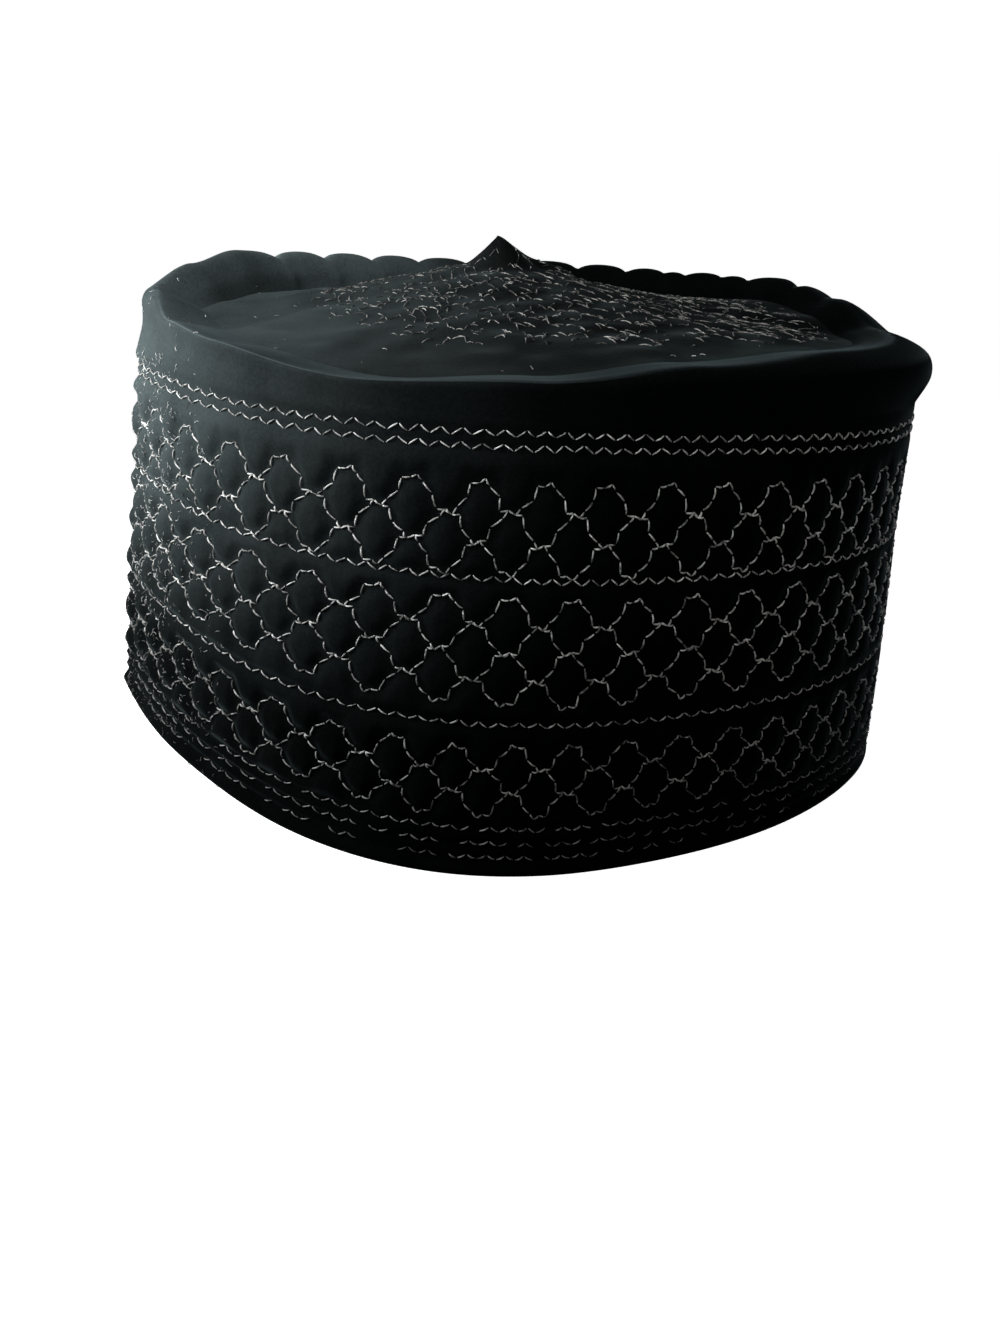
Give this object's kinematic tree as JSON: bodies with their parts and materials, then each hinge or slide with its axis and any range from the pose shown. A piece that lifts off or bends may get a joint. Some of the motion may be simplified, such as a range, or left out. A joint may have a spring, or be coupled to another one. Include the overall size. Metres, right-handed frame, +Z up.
{
  "type": "prayer cap",
  "caption": "Soft flat-topped prayer cap: padded quilted band, rolled rim gathered in pleats at the back, and a domed crown with a pinched peak.",
  "frame": {"origin": "centre of the bounding box at its bottom, on the surface that the hem stands on", "axes": "+Z up; +X along the long axis of the plan, towards the rounder end; -Y towards the front that the picture shows"},
  "size_m": [0.2168, 0.1722, 0.1284],
  "materials": {
    "quilted_velvet": "near-black quilted velvet with silvery machine stitching",
    "plain_velvet": "near-black plain velvet",
    "stitched_velvet": "near-black velvet covered in fine silvery stitching"
  },
  "bodies": {
    "root": {"band": "quilted_velvet", "rim_roll": "plain_velvet", "crown": "stitched_velvet"}
  },
  "joints": []
}
